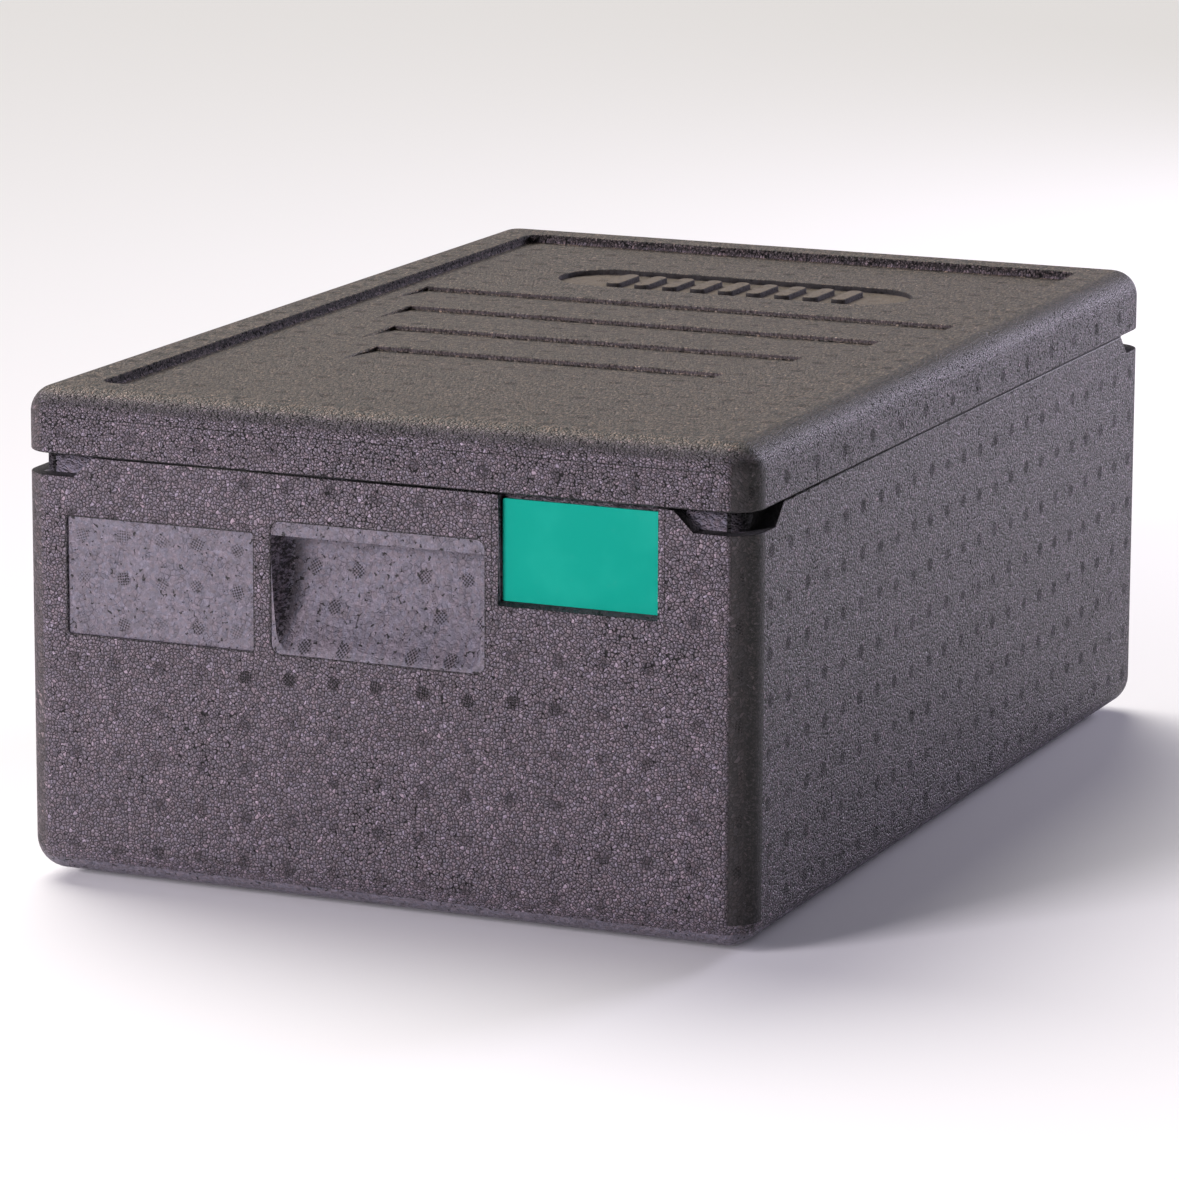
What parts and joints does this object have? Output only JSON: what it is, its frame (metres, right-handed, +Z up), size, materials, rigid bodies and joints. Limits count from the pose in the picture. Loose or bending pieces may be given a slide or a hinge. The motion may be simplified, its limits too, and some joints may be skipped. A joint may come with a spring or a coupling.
{
  "type": "insulated food carrier",
  "caption": "Top-loading insulated foam carrier for a full-size food pan, with a lift-off lid, moulded handle pockets, corner grip notches, stacking feet and a coloured contents tag.",
  "frame": {"origin": "on the floor under the centre of the body, at the lowest point of the feet", "axes": "+Z up; +Y along the long side towards the rear end; +X to the right of someone facing the front end, which carries the tag and faces -Y"},
  "size_m": [0.4, 0.6, 0.257],
  "materials": {
    "body_foam": "matte",
    "lid_foam": "matte",
    "tag_plastic": "satin"
  },
  "bodies": {
    "body": {"body": "body_foam"},
    "lid": {"lid": "lid_foam"},
    "content_tag": {"content_tag": "tag_plastic"}
  },
  "joints": [
    {"name": "lid_lift", "type": "slide", "parent": "body", "child": "lid", "axis": [0, 0, 1], "range_m": [0, 0.2]},
    {"name": "tag_pull", "type": "slide", "parent": "body", "child": "content_tag", "axis": [0, -1, 0], "range_m": [0, 0.06]}
  ]
}
